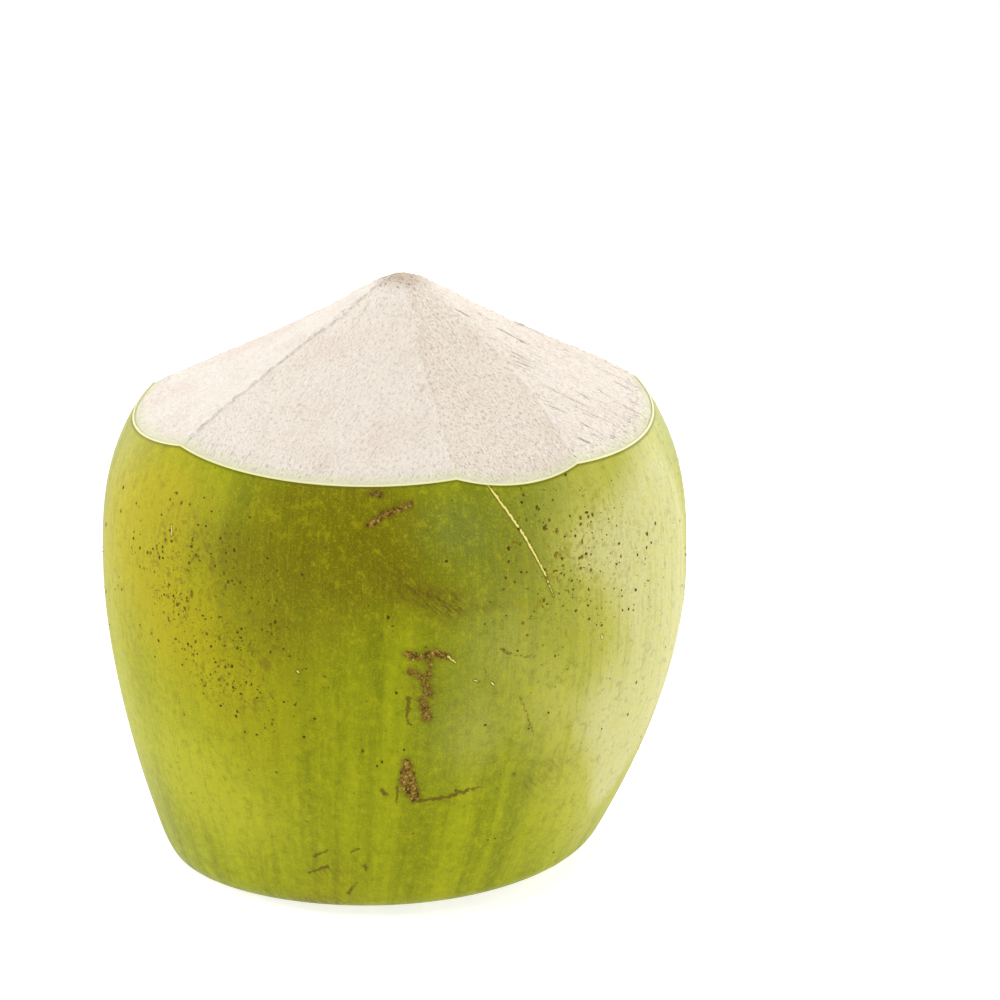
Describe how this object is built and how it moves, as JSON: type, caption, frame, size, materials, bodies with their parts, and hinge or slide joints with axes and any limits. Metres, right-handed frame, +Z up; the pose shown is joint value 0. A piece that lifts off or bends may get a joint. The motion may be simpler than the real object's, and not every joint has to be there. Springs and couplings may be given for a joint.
{
  "type": "green coconut",
  "caption": "Green drinking coconut: a barrel of waxy skin with a flat cut foot, its top shaved with a knife to a low faceted cone of white husk.",
  "frame": {"origin": "under the middle of the fruit's box, on the plane of the flat cut foot", "axes": "+Z up, from the flat foot to the shaved tip; -Y is the side with the long cut facet and the scars, which faces the camera; +X is to the right as seen from there"},
  "size_m": [0.15, 0.15, 0.1514],
  "materials": {
    "green_skin": "satin",
    "cut_husk": "matte"
  },
  "bodies": {
    "root": {"green_coconut": "green_skin"}
  },
  "joints": []
}
